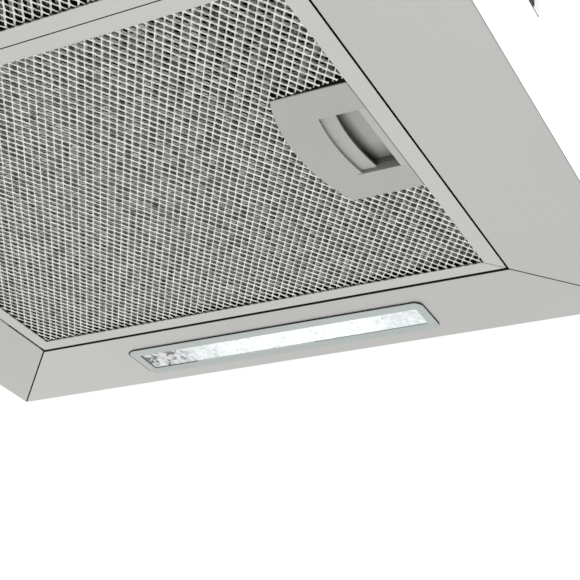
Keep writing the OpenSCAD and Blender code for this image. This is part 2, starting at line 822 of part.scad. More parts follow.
module filter_latch(s) {
    color(plastic_grey) at_handle(s) difference() {
        union() {
            translate([0, 0, slide_z0]) linear_extrude(lever_t) difference() {
                translate([-recess_half_w + slip, lever_v0])
                    square([2 * (recess_half_w - slip), bar_v0 + 1 - lever_v0]);
                translate([0, lever_v0 + lever_bow - recess_arc_r]) circle(recess_arc_r, $fn = 180);
            }
            span([-arm_u1, bar_v0, slide_z0], [arm_u1, bar_v1, slide_z1]);
            arm_slots(0, nose_v, bar_v0 + 1);
        }
        for (x = [-spring_u, spring_u])
            translate([x, bar_v1 - spring_pocket, spring_z]) rotate([-90, 0, 0])
                cylinder(r = spring_r + 0.2, h = spring_pocket + cut);
        translate([0, nose_v + nose_ramp, arm_z1]) rotate([nose_angle, 0, 0])
            span([-arm_u1 - cut, -3 * nose_ramp, 0], [arm_u1 + cut, 0, 3 * nose_ramp]);
    }
}

module filter_springs(s) {
    color("silver") at_handle(s) for (x = [-spring_u, spring_u])
        translate([x, bar_v1 - spring_pocket, spring_z]) rotate([-90, 0, 0]) difference() {
            cylinder(r = spring_r, h = cavity_v1 - bar_v1 + spring_pocket);
            translate([0, 0, -cut]) cylinder(r = spring_r - 0.6, h = cavity_v1);
        }
}

body_wrap();
rear_panel();
top_panel();
side_rivets();
duct_collar();
damper_flap();
collar_screws();
rear_duct_cover();
cover_screws();
blower_scroll();
inlet_rings();
blower_screws();
motor_bracket();
motor_shell();
motor_stator();
motor_rotor();
motor_shaft();
wheel_left();
wheel_right();
wiring_box();
wiring_cover();
wiring_screws();
terminal_block();
capacitor();
capacitor_clip();
cable_gland();
led_driver();
control_bezel();
control_panel();
control_board();
control_switches();
button(1);  // button_1
button(2);  // button_2
button(3);  // button_3
button(4);  // button_4
button(5);  // button_5
lamp_housing(1);  // lamp_right_housing
lamp_bezel(1);  // lamp_right_bezel
lamp_lens(1);  // lamp_right_lens
lamp_board(1);  // lamp_right_board
lamp_leds(1);  // lamp_right_leds
lamp_housing(-1);  // lamp_left_housing
lamp_bezel(-1);  // lamp_left_bezel
lamp_lens(-1);  // lamp_left_lens
lamp_board(-1);  // lamp_left_board
lamp_leds(-1);  // lamp_left_leds
filter_frame(1);  // filter_right_frame
filter_mesh(1);  // filter_right_mesh
filter_handle(1);  // filter_right_handle
filter_back(1);  // filter_right_back
filter_latch(1);  // filter_right_latch
filter_springs(1);  // filter_right_springs
filter_frame(-1);  // filter_left_frame
filter_mesh(-1);  // filter_left_mesh
filter_handle(-1);  // filter_left_handle
filter_back(-1);  // filter_left_back
filter_latch(-1);  // filter_left_latch
filter_springs(-1);  // filter_left_springs
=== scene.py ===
import json
import math

import bmesh
import bpy
import numpy as np
from mathutils import Euler, Matrix, Vector


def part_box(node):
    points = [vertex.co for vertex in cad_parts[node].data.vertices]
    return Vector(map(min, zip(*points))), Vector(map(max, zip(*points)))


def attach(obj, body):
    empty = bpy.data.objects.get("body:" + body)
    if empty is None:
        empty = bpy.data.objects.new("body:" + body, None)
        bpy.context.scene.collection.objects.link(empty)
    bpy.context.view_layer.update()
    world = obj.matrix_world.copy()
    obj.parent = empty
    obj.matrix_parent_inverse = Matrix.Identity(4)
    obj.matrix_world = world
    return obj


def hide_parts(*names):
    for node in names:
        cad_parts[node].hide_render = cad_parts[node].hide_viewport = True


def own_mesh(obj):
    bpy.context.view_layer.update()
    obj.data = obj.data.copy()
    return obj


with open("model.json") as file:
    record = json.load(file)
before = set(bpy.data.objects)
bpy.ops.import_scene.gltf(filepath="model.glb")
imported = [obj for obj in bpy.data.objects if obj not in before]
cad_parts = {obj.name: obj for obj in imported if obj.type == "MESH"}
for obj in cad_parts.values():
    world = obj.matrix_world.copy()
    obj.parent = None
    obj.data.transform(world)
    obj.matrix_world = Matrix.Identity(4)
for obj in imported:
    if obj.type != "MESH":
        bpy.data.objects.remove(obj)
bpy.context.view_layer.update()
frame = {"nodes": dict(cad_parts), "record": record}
scene = bpy.context.scene

# Places are those of the CAD, in metres; those of one side are for the right one, at +X.
MM = 0.001
SIDES = {"right": 1, "left": -1}
HOOD_H = 0.152
UNDER = -HOOD_H  # the underside's height in the row frame
BODY_X, BODY_Y = 0.381, 0.261  # half the width and depth of the body
OPEN_X, OPEN_Y = 0.308, 0.188  # half of the filter opening
FRONT = -BODY_Y
TOP_SHEET = -1.5 * MM  # the top sheet is above this height
PANEL_FACE = -0.2622  # the control panel's front
PANEL_END = 146.4 * MM
BEZEL_FOOT = UNDER + 65.9 * MM
FILTER_X = (0.4 * MM, 306.3 * MM)
FILTER_Y = (-186.7 * MM, 186.7 * MM)
HANDLE_X = 147.5 * MM
HANDLE_SIDE = HANDLE_X - 50.5 * MM
HANDLE_FRONT = -OPEN_Y + 12.5 * MM
RECESS = 28.5 * MM  # half its width
RECESS_FRONT = -OPEN_Y + 17.5 * MM
LAMP_X, LAMP_Y = 348 * MM, 4 * MM
LENS_SIDE = 11 * MM  # half the width of the lens opening, its rounded rim included
LENS_END = 114.2 * MM
EDGE = 0.5 * MM  # takes in a surface that lies on a limit
FAR = 1  # beyond the object
PAINTED_SHADE = (0.02, 0.02, 0.02)  # painted shade at the bottom of a gap, on metal or plastic


# ---------------------------------------------------------------- materials

def add(tree, kind, inputs=None, **props):
    """A shader node, its properties set, its inputs either linked or given a value."""
    node = tree.nodes.new("ShaderNode" + kind)
    for key, value in props.items():
        setattr(node, key, value)
    for key, value in (inputs or {}).items():
        if isinstance(value, bpy.types.NodeSocket):
            tree.links.new(value, node.inputs[key])
        else:
            node.inputs[key].default_value = value
    return node


def start(name, constants):
    """A new material, with the values that are the same all over it."""
    mat = bpy.data.materials.new(name)
    mat.use_nodes = True
    shader = mat.node_tree.nodes["Principled BSDF"]
    for key, value in constants.items():
        shader.inputs[key].default_value = value
    return mat, mat.node_tree, shader


def place(tree, scale):
    """Object coordinates in metres, multiplied axis by axis."""
    coord = add(tree, "TexCoord").outputs["Object"]
    return add(tree, "VectorMath", {0: coord, 1: scale}, operation="MULTIPLY").outputs[0]


def axes(tree):
    """The object coordinates one by one: X, Y and Z."""
    parts = add(tree, "SeparateXYZ", {0: add(tree, "TexCoord").outputs["Object"]})
    return parts.outputs[0], parts.outputs[1], parts.outputs[2]


def noise(tree, scale, detail=2.0, rough=0.5):
    scale = scale if isinstance(scale, tuple) else (scale, scale, scale)
    return add(tree, "TexNoise", {"Vector": place(tree, scale), "Scale": 1.0, "Detail": detail,
                                  "Roughness": rough}).outputs[0]


def span(tree, fac, low, high, lo_in=0.3, hi_in=0.7):
    """A factor stretched from one range to another."""
    return add(tree, "MapRange", {"Value": fac, "From Min": lo_in, "From Max": hi_in,
                                  "To Min": low, "To Max": high}).outputs[0]


def mixed(tree, fac, colour, other):
    """One colour turned into another by a factor. Each is a socket or a plain colour."""
    sides = [c if isinstance(c, bpy.types.NodeSocket) else (*c, 1) for c in (colour, other)]
    return add(tree, "Mix", {0: fac, 6: sides[0], 7: sides[1]}, data_type="RGBA").outputs[2]


def average(tree, share, value, other):
    """Two values mixed, with a share of the second."""
    return add(tree, "Mix", {0: share, 2: value, 3: other}, data_type="FLOAT").outputs[0]


def tint(tree, fac, dark, light, lo_in=0.3, hi_in=0.7):
    """A colour between two, by a factor that mostly lies between two limits."""
    return mixed(tree, span(tree, fac, 0.0, 1.0, lo_in, hi_in), dark, light)


def math_node(tree, op, a, b=0.0):
    return add(tree, "Math", {0: a, 1: b}, operation=op).outputs[0]


def bump(tree, shader, height, strength, depth):
    node = add(tree, "Bump", {"Height": height, "Strength": strength, "Distance": depth})
    tree.links.new(node.outputs[0], shader.inputs["Normal"])


def grain(tree, along):
    """Fine scratches that run along one axis, with broader streaks among them."""
    fine = noise(tree, tuple(14.0 if axis == along else 1400.0 for axis in "XYZ"), 3.0, 0.6)
    broad = noise(tree, tuple(3.5 if axis == along else 200.0 for axis in "XYZ"), 2.0, 0.5)
    return average(tree, 0.4, fine, broad)


def shaded(tree, colour, regions):
    """The same colour, changed to another inside boxes: a range of |x|, one of y and one of z for each."""
    x, y, z = axes(tree)
    places = (math_node(tree, "ABSOLUTE", x), y, z)
    for region_colour, *ranges in regions:
        inside = 1.0
        for place_along, limits in zip(places, ranges):
            for test, limit in zip(("GREATER_THAN", "LESS_THAN"), limits or ()):
                inside = math_node(tree, "MULTIPLY", math_node(tree, test, place_along, limit), inside)
        colour = mixed(tree, inside, colour, region_colour)
    return colour


def steel(name, base, rough, panel=None, along="X", regions=()):
    """Brushed sheet. With panel, which is half the opening's size, the grain below the top sheet follows
    the borders, and painted light makes the side borders lighter towards the rear."""
    mat, tree, shader = start(name, {"Metallic": 1.0, "Anisotropic": 0.35})
    lines = grain(tree, along)
    if panel:
        x, y, z = axes(tree)
        out_x = math_node(tree, "SUBTRACT", math_node(tree, "ABSOLUTE", x), panel[0])
        out_y = math_node(tree, "SUBTRACT", math_node(tree, "ABSOLUTE", y), panel[1])
        below_top = math_node(tree, "LESS_THAN", z, TOP_SHEET)
        side = math_node(tree, "MULTIPLY", math_node(tree, "GREATER_THAN", out_x, out_y), below_top)
        lines = average(tree, side, lines, grain(tree, "Y"))
    both = average(tree, 0.45, lines, noise(tree, 9.0, 3.0, 0.55))
    colour = tint(tree, both, [c * 0.95 for c in base], [min(1, c * 1.03) for c in base])
    if panel:
        # painted light: the side borders lighter towards the rear
        painted_rear_light = math_node(tree, "MULTIPLY", side, span(tree, y, 0.0, 1.0, 0.02, 0.16))
        colour = mixed(tree, painted_rear_light, colour, [c * 1.08 for c in base])
    colour = shaded(tree, colour, regions)
    tree.links.new(colour, shader.inputs["Base Color"])
    tree.links.new(span(tree, both, rough - 0.05, rough + 0.07), shader.inputs["Roughness"])
    bump(tree, shader, lines, 0.10, 0.00012)
    return mat


def galvanised(name, dark, light):
    """Zinc with its flower of crystals."""
    mat, tree, shader = start(name, {"Metallic": 1.0})
    cells = add(tree, "TexVoronoi", {"Vector": place(tree, (95, 95, 95)), "Scale": 1.0, "Randomness": 1.0})
    bright = add(tree, "SeparateXYZ", {0: cells.outputs["Color"]}).outputs[0]
    flower = average(tree, 0.35, bright, noise(tree, 260.0, 3.0))
    tree.links.new(tint(tree, flower, dark, light, 0.1, 0.9), shader.inputs["Base Color"])
    tree.links.new(span(tree, flower, 0.34, 0.52, 0.1, 0.9), shader.inputs["Roughness"])
    bump(tree, shader, flower, 0.08, 0.0003)
    return mat


def turned(name, base, rough, along="X", pitch=2600.0):
    """Polished or drawn metal with fine rings across its length."""
    mat, tree, shader = start(name, {"Metallic": 1.0})
    scale = tuple(pitch if a == along else 40.0 for a in "XYZ")
    rings = noise(tree, scale, 2.0)
    tree.links.new(tint(tree, rings, [c * 0.88 for c in base], base), shader.inputs["Base Color"])
    tree.links.new(span(tree, rings, rough - 0.04, rough + 0.08), shader.inputs["Roughness"])
    bump(tree, shader, rings, 0.08, 0.0001)
    return mat


def recess_shade(tree, colour):
    """Painted shade on the floor of a finger recess: darker under the lever and towards its outer end."""
    x, y, z = axes(tree)
    out = span(tree, math_node(tree, "ABSOLUTE", x), 0.0, 0.45, HANDLE_X + 12 * MM, HANDLE_X + 30 * MM)
    under = span(tree, y, 0.0, 0.68, -OPEN_Y + 30 * MM, -OPEN_Y + 36.5 * MM)
    deep = math_node(tree, "GREATER_THAN", z, UNDER + 5 * MM)
    both = math_node(tree, "MULTIPLY", deep, math_node(tree, "ADD", out, under))
    return mixed(tree, both, colour, PAINTED_SHADE)


def plastic(name, base, rough, grain_depth=0.00006, grain_scale=2200.0, spread=0.05, regions=(), shade=None,
            recess=False, specular=0.45):
    """Moulded plastic with a fine eroded grain and a faint unevenness of colour. Shade names an attribute
    that paints shade on it, and recess paints shade on the floor of a finger recess."""
    mat, tree, shader = start(name, {"Specular IOR Level": specular})
    patch = noise(tree, 38.0, 4.0, 0.6)
    pores = noise(tree, grain_scale, 2.0, 0.6)
    colour = tint(tree, patch, [c * (1 - spread) for c in base], [min(1, c * (1 + spread)) for c in base])
    if shade:
        colour = mixed(tree, add(tree, "Attribute", attribute_name=shade).outputs["Fac"], colour, PAINTED_SHADE)
    colour = shaded(tree, colour, regions)
    if recess:
        colour = recess_shade(tree, colour)
    tree.links.new(colour, shader.inputs["Base Color"])
    tree.links.new(span(tree, pores, rough - 0.05, rough + 0.07), shader.inputs["Roughness"])
    bump(tree, shader, pores, 0.25, grain_depth)
    return mat


def glossy_black(name):
    """Dark glass with a faint film of dust."""
    mat, tree, shader = start(name, {"Specular IOR Level": 0.01})
    dust = noise(tree, 70.0, 6.0, 0.75)
    film = tint(tree, dust, (0.004, 0.004, 0.005), (0.010, 0.010, 0.011))
    tree.links.new(film, shader.inputs["Base Color"])
    tree.links.new(span(tree, dust, 0.12, 0.24), shader.inputs["Roughness"])
    bump(tree, shader, noise(tree, 1500.0), 0.03, 0.00003)
    return mat


def laminated(name):
    """A stack of stamped sheets, seen as lines across the X axis."""
    mat, tree, shader = start(name, {"Metallic": 0.9})
    wave = add(tree, "TexWave", {"Vector": place(tree, (1, 1, 1)), "Scale": 620.0, "Distortion": 0.2,
                                 "Detail": 1.0}, bands_direction="X").outputs[1]
    stripes = tint(tree, wave, (0.06, 0.06, 0.065), (0.30, 0.30, 0.32), 0.1, 0.6)
    tree.links.new(stripes, shader.inputs["Base Color"])
    tree.links.new(span(tree, noise(tree, 500.0), 0.45, 0.65), shader.inputs["Roughness"])
    bump(tree, shader, wave, 0.3, 0.0001)
    return mat


def circuit(name):
    """Solder mask over copper: a cellular net of tracks with brighter pads."""
    mat, tree, shader = start(name, {"Coat Weight": 0.5, "Coat Roughness": 0.15})
    net = add(tree, "TexVoronoi",
              {"Vector": place(tree, (210, 210, 210)), "Scale": 1.0, "Randomness": 0.35},
              feature="DISTANCE_TO_EDGE", distance="CHEBYCHEV").outputs["Distance"]
    track = math_node(tree, "LESS_THAN", net, 0.07)
    mask = tint(tree, noise(tree, 150.0, 3.0), (0.012, 0.10, 0.035), (0.02, 0.15, 0.055))
    tree.links.new(mixed(tree, track, mask, (0.04, 0.24, 0.09)), shader.inputs["Base Color"])
    tree.links.new(span(tree, noise(tree, 900.0), 0.28, 0.42), shader.inputs["Roughness"])
    bump(tree, shader, track, 0.3, 0.00006)
    return mat


def lens_glass(name):
    """Pressed facets in front of the light: how much each glows is stored on its face."""
    mat, tree, shader = start(name, {"Roughness": 0.10, "IOR": 1.45, "Emission Strength": 0.5,
                                     "Specular IOR Level": 0.5})
    glow = add(tree, "Attribute", attribute_name="glow").outputs["Fac"]
    tone = add(tree, "Attribute", attribute_name="tone").outputs["Fac"]
    sparkle = noise(tree, 900.0, 2.0)
    depth = math_node(tree, "MULTIPLY", tone, span(tree, sparkle, 0.8, 1.0))
    facets = tint(tree, depth, (0.13, 0.12, 0.15), (0.88, 0.90, 0.90), 0.0, 1.0)
    tree.links.new(facets, shader.inputs["Base Color"])
    lit = math_node(tree, "MULTIPLY", glow, span(tree, sparkle, 0.86, 1.0))
    tree.links.new(mixed(tree, lit, (0, 0, 0), (0.80, 0.95, 1.0)), shader.inputs["Emission Color"])
    return mat


def phosphor(name):
    """The yellow coating of an LED."""
    mat, tree, shader = start(name, {"Roughness": 0.5, "Emission Strength": 1.5})
    speck = noise(tree, 2500.0, 2.0)
    tree.links.new(tint(tree, speck, (0.85, 0.72, 0.18), (0.98, 0.86, 0.32)), shader.inputs["Base Color"])
    tree.links.new(tint(tree, speck, (0.85, 0.93, 1.0), (1.0, 1.0, 1.0)), shader.inputs["Emission Color"])
    return mat


def expanded_metal(name, base, deep_shade, rough):
    """Aluminium strand: bright cut edges and duller faces, with painted shade mixed in by its depth
    attribute.
    """
    mat, tree, shader = start(name, {"Metallic": 1.0})
    wear = noise(tree, 420.0, 3.0, 0.6)
    film = noise(tree, 14.0, 3.0, 0.5)
    both = average(tree, 0.4, wear, film)
    clean = tint(tree, both, [c * 0.88 for c in base], base)
    shade_share = add(tree, "Attribute", attribute_name="depth").outputs["Fac"]
    tree.links.new(mixed(tree, shade_share, clean, deep_shade), shader.inputs["Base Color"])
    tree.links.new(span(tree, both, rough - 0.08, rough + 0.10), shader.inputs["Roughness"])
    return mat


# Colours that hold inside a box: its range of |x|, of y and of z, or None for all of an axis.
BODY_REGIONS = (
    # painted shade on the lips round the opening, and on what is above them
    (PAINTED_SHADE, (5 * MM, OPEN_X + EDGE), (-OPEN_Y - EDGE, OPEN_Y - EDGE), (UNDER + 0.25 * MM, 0)),
    # painted shade on the fold of the side lips, and of the front lip at its ends
    (PAINTED_SHADE, (OPEN_X - EDGE, OPEN_X + 1.05 * MM), (-OPEN_Y, OPEN_Y), (UNDER - MM, 0)),
    (PAINTED_SHADE, (200 * MM, OPEN_X), (-OPEN_Y - 0.95 * MM, -OPEN_Y), (UNDER + 0.03 * MM, 0)),
    # painted shade on the middle of the front lip, lighter than at its ends
    ((0.30, 0.30, 0.29), (0, 110 * MM), (-OPEN_Y - EDGE, -OPEN_Y + EDGE), (UNDER + 0.25 * MM, 0)),
    # painted light on the fold of the rear lip
    ((0.95, 0.95, 0.93), (0, OPEN_X), (OPEN_Y - EDGE, OPEN_Y + MM), (UNDER + 0.03 * MM, UNDER + 3 * MM)),
    # painted shade on the body's lower front fold
    ((0.30, 0.30, 0.295), None, (-FAR, FRONT + 0.5 * MM), (UNDER - MM, UNDER + 1.2 * MM)),
)
BEZEL_REGIONS = (
    # painted light on the bezel's lower edge, below its foot
    ((0.95, 0.95, 0.95), None, None, (-FAR, BEZEL_FOOT)),
    ((0.12, 0.12, 0.125), (0, PANEL_END)),
)
LAMP_REGIONS = (
    # painted shade on the rounded rim outside the lens, on the lamp's outer side
    ((0.435, 0.475, 0.462), (LAMP_X + LENS_SIDE, FAR), None, (-FAR, UNDER - 1.1 * MM)),
    # painted shade on the lens opening's outer wall, at the rear and at the front, and on its rear wall
    ((0.09, 0.10, 0.105), (LAMP_X + 10.3 * MM, LAMP_X + LENS_SIDE), (80 * MM, FAR),
     (UNDER - 0.95 * MM, 0)),
    ((0.26, 0.29, 0.32), (LAMP_X + 10.3 * MM, LAMP_X + LENS_SIDE), (-FAR, -20 * MM),
     (UNDER - 0.95 * MM, 0)),
    ((0.09, 0.10, 0.105), (LAMP_X - LENS_SIDE, LAMP_X + LENS_SIDE),
     (LAMP_Y + 113.3 * MM, LAMP_Y + LENS_END), (UNDER - 0.95 * MM, 0)),
)
FILTER_REGIONS = (
    # painted shade on the frame's front edge, all along and, lighter, towards the middle
    ((0.12, 0.12, 0.115), (10 * MM, FAR), (-FAR, FILTER_Y[0] + EDGE), (UNDER + 0.9 * MM, 0)),
    ((0.40, 0.40, 0.38), (10 * MM, 110 * MM), (-FAR, FILTER_Y[0] + EDGE), (UNDER + 0.3 * MM, 0)),
    # painted shade on its rear and outer edges
    ((0.30, 0.30, 0.285), None, (FILTER_Y[1] + 0.1 * MM, FAR), None),
    ((0.10, 0.10, 0.095), (FILTER_X[1] - 0.4 * MM, FAR), None, None),
)
HANDLE_REGIONS = (
    # painted shade on the plate's inner side and front edge
    (PAINTED_SHADE, (0, HANDLE_SIDE), None, (UNDER + 0.9 * MM, 0)),
    ((0.06, 0.06, 0.055), None, (-FAR, HANDLE_FRONT + 0.4 * MM), None),
    # painted highlight on the strip in front of the recess, and painted shade on the recess's outer end wall
    ((0.475, 0.485, 0.455), (HANDLE_X - RECESS, HANDLE_X + RECESS), (HANDLE_FRONT + 0.4 * MM, RECESS_FRONT),
     (UNDER - MM, UNDER + EDGE)),
    ((0.20, 0.207, 0.195), (HANDLE_X + RECESS - 0.4 * MM, HANDLE_X + RECESS + 0.4 * MM),
     (RECESS_FRONT - EDGE, RECESS_FRONT + 28 * MM), (UNDER - MM, 0)),
    # painted shade on its curved rear wall, and on the front face of the lever
    ((0.19, 0.195, 0.18), (HANDLE_X - RECESS, HANDLE_X + RECESS),
     (-OPEN_Y + 41.8 * MM, -OPEN_Y + 45.3 * MM), (UNDER + 0.45 * MM, UNDER + 2.3 * MM)),
    ((0.06, 0.06, 0.055), (HANDLE_X - RECESS, HANDLE_X + RECESS), (-OPEN_Y + 31 * MM, -OPEN_Y + 35.3 * MM),
     (UNDER + 2.8 * MM, UNDER + 4.6 * MM)),
)
LOOKS = {
    "brushed_steel": steel("brushed_steel", (0.59, 0.585, 0.573), 0.34, panel=(OPEN_X, OPEN_Y),
                           regions=BODY_REGIONS),
    "galvanised_steel": galvanised("galvanised_steel", (0.44, 0.45, 0.46), (0.66, 0.67, 0.68)),
    "fastener": turned("fastener", (0.72, 0.72, 0.73), 0.24, "Z", 900.0),
    "laminations": laminated("laminations"),
    "shaft_steel": turned("shaft_steel", (0.70, 0.70, 0.72), 0.20),
    "wheel_aluminium": galvanised("wheel_aluminium", (0.60, 0.61, 0.62), (0.76, 0.77, 0.78)),
    "terminal_plastic": plastic("terminal_plastic", (0.78, 0.74, 0.62), 0.42),
    "black_plastic": plastic("black_plastic", (0.03, 0.03, 0.032), 0.40),
    "white_plastic": plastic("white_plastic", (0.80, 0.80, 0.78), 0.38),
    "bezel_silver": plastic("bezel_silver", (0.43, 0.44, 0.44), 0.34, regions=BEZEL_REGIONS, specular=0.1),
    "panel_black": glossy_black("panel_black"),
    "circuit_board": circuit("circuit_board"),
    "switch_black": plastic("switch_black", (0.05, 0.05, 0.055), 0.35),
    "button_chrome": steel("button_chrome", (0.76, 0.76, 0.77), 0.22),
    "lamp_bezel": plastic("lamp_bezel", (0.47, 0.515, 0.50), 0.36, 0.00003, 3000.0, 0.03, shade="shade",
                          regions=LAMP_REGIONS),
    "lamp_lens": lens_glass("lamp_lens"),
    "led_phosphor": phosphor("led_phosphor"),
    "filter_aluminium": steel("filter_aluminium", (0.635, 0.637, 0.61), 0.36, along="Y",
                              regions=FILTER_REGIONS),
    "filter_mesh": expanded_metal("filter_mesh", (0.94, 0.94, 0.925), (0.10, 0.10, 0.095), 0.28),
    "handle_plastic": plastic("handle_plastic", (0.43, 0.44, 0.41), 0.46, 0.00005, 2600.0, 0.03,
                              regions=HANDLE_REGIONS, recess=True),
    "spring_steel": turned("spring_steel", (0.66, 0.66, 0.68), 0.22, "Y", 1200.0),
}
SLOT_OF = {s["node"]: s["material_slot"] for s in frame["record"]["subparts"]}
BODY_OF = {n: b for b, ns in frame["record"]["behaviour"]["bodies"].items() for n in ns}
for node_name, node_obj in frame["nodes"].items():
    for material_slot in node_obj.material_slots:
        material_slot.material = LOOKS[SLOT_OF[node_name]]


# ---------------------------------------------------------------- mesh helpers

def piece(name, verts, faces, slot_name, body, nodes, smooth=False):
    """A new piece in the row frame, with its finish, its body and the CAD nodes it stands for."""
    mesh = bpy.data.meshes.new(name)
    mesh.from_pydata([tuple(v) for v in verts], [], [tuple(f) for f in faces])
    mesh.validate()
    mesh.update()
    obj = bpy.data.objects.new(name, mesh)
    scene.collection.objects.link(obj)
    mesh.materials.append(LOOKS[slot_name])
    if smooth:
        mesh.shade_smooth()
        mesh.set_sharp_from_angle(angle=math.radians(32))
    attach(obj, body)
    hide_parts(*nodes)
    return obj


def softened(node, width, segments, pick=None, grooves=None):
    """A copy of a CAD node with its sharp edges rounded, or those that pick is true for, and with narrow
    grooves cut where strips meet."""
    source = frame["nodes"][node]
    bm = bmesh.new()
    bm.from_mesh(source.data)
    bmesh.ops.remove_doubles(bm, verts=bm.verts, dist=2e-6)
    bmesh.ops.dissolve_limit(bm, angle_limit=math.radians(0.4), verts=bm.verts, edges=bm.edges,
                             delimit={"NORMAL"})
    if grooves:
        clean = bpy.data.meshes.new("clean")
        bm.to_mesh(clean)
        holder = bpy.data.objects.new("holder", clean)
        tool_mesh = bpy.data.meshes.new("tool")
        tool_mesh.from_pydata(*grooves)
        tool = bpy.data.objects.new("tool", tool_mesh)
        for o in (holder, tool):
            scene.collection.objects.link(o)
        mod = holder.modifiers.new("cut", "BOOLEAN")
        mod.operation, mod.object, mod.solver = "DIFFERENCE", tool, "EXACT"
        cut = holder.evaluated_get(bpy.context.evaluated_depsgraph_get())
        bm.free()
        bm = bmesh.new()
        bm.from_mesh(cut.to_mesh())
        for o in (holder, tool):
            bpy.data.objects.remove(o)
    edges = []
    for e in bm.edges:
        if len(e.link_faces) == 2 and e.calc_face_angle(0) > math.radians(24):
            a, b = e.verts[0].co, e.verts[1].co
            if pick is None or pick(a, b):
                edges.append(e)
    bmesh.ops.bevel(bm, geom=edges, offset=width, offset_type="OFFSET", segments=segments, profile=0.5,
                    affect="EDGES", clamp_overlap=True)
    bm.verts.index_update()
    verts = [v.co.copy() for v in bm.verts]
    faces = [[v.index for v in f.verts] for f in bm.faces]
    bm.free()
    obj = piece(node + "_shape", verts, faces, SLOT_OF[node], BODY_OF[node], [node], smooth=True)
    weighted = obj.modifiers.new("weighted", "WEIGHTED_NORMAL")
    weighted.keep_sharp = True
    return obj


def near(value, target):
    return abs(value - target) < 0.2 * MM


# ---------------------------------------------------------------- folded body

LONG = 0.05  # a fold is longer than this


def body_folds(a, b):
    """The edges where the sheet is bent: outer corners and the rim of the opening."""
    low = near(a.z, UNDER) and near(b.z, UNDER)
    if low and near(a.y, b.y) and (near(abs(a.y), BODY_Y) or near(abs(a.y), OPEN_Y)):
        return abs(a.x - b.x) > LONG
    if low and near(a.x, b.x) and (near(abs(a.x), BODY_X) or near(abs(a.x), OPEN_X)):
        return abs(a.y - b.y) > LONG
    upright = near(a.x, b.x) and near(a.y, b.y) and abs(a.z - b.z) > LONG
    return upright and near(abs(a.x), BODY_X) and near(abs(a.y), BODY_Y)


for body_node in ("body_wrap", "rear_panel"):
    softened(body_node, 0.9 * MM, 3, body_folds)


# ---------------------------------------------------------------- filters

STRIP = 11 * MM  # width of the frame's four strips
HANDLE_HALF = 52.5 * MM
HANDLE_END = 70 * MM
HANDLE_ARC = (105 ** 2 / 4 + 10 ** 2) / (2 * 10) * MM  # a chord of 105 mm that bulges by 10 mm
FLARE, FLARE_END = 4.0 * MM, 6 * MM  # the plate's inner side widens this much towards the front
CELL_X, CELL_Y = 8.3 * MM, 5.75 * MM
SKEW = (0.033, 0.030)  # how far the stretched cells lean out of square
LAY = 14 * MM  # by which a sheet is laid out beyond its frame before it's cut
INSET = 1.3 * MM  # from the frame's outside to the cut
CLEAR = 0.5 * MM  # from the handle's outline to the cut
JITTER = (0.16, 0.16, 0.13)  # of the knots, in mm
SAG = 0.22 * MM  # of a strand between two knots
HALF_THICK = 0.19 * MM
TILT = math.radians(-15)
FAMILY = (0.82, 1.14)  # widths of the strands that rise to the right and to the left
# For each sheet: its height above the underside, whether its cells are turned a quarter round, its offset,
# the segments of a strand, and a strand's width at a knot and between two.
LAYERS = (
    (1.45 * MM, False, (0.0, 0.0), 2, 1.15 * MM, 0.85 * MM),
    (4.45 * MM, False, (2.3 * MM, 1.1 * MM), 1, 1.15 * MM, 1.0 * MM),
    (7.15 * MM, True, (1.1 * MM, 2.9 * MM), 1, 1.6 * MM, 1.4 * MM),
)
# For each sheet: the painted shade at the knots, how much more there is between two, and its spread.
SHEET_SHADE = ((0.07, 0.33, 0.14), (0.85, 0.0, 0.13), (0.88, 0.0, 0.10))


def in_handle(x, y):
    """True where a point is under the handle's outline, with a little around it, on the right-hand filter."""
    u, v = x - HANDLE_X, y + OPEN_Y
    wedge = np.where(u < 0, np.clip((HANDLE_HALF - FLARE_END - v) / HANDLE_HALF, 0, 1) * FLARE, 0)
    flat = np.abs(u) < HANDLE_HALF + CLEAR + wedge
    arc = np.hypot(u, v - (HANDLE_END - HANDLE_ARC)) < HANDLE_ARC + CLEAR
    return flat & arc & (v < HANDLE_END + CLEAR)


def cut_to_frame(p, q, low, high):
    """The parts of the strands that lie inside a rectangle."""
    d = q - p
    run = np.where(np.abs(d[:, :2]) < 1e-9, 1e-9, d[:, :2])
    a, b = (low - p[:, :2]) / run, (high - p[:, :2]) / run
    start_at = np.clip(np.minimum(a, b).max(axis=1), 0, 1)[:, None]
    end_at = np.clip(np.maximum(a, b).min(axis=1), 0, 1)[:, None]
    keep = (end_at - start_at)[:, 0] > 0.05
    return (p + d * start_at)[keep], (p + d * end_at)[keep]


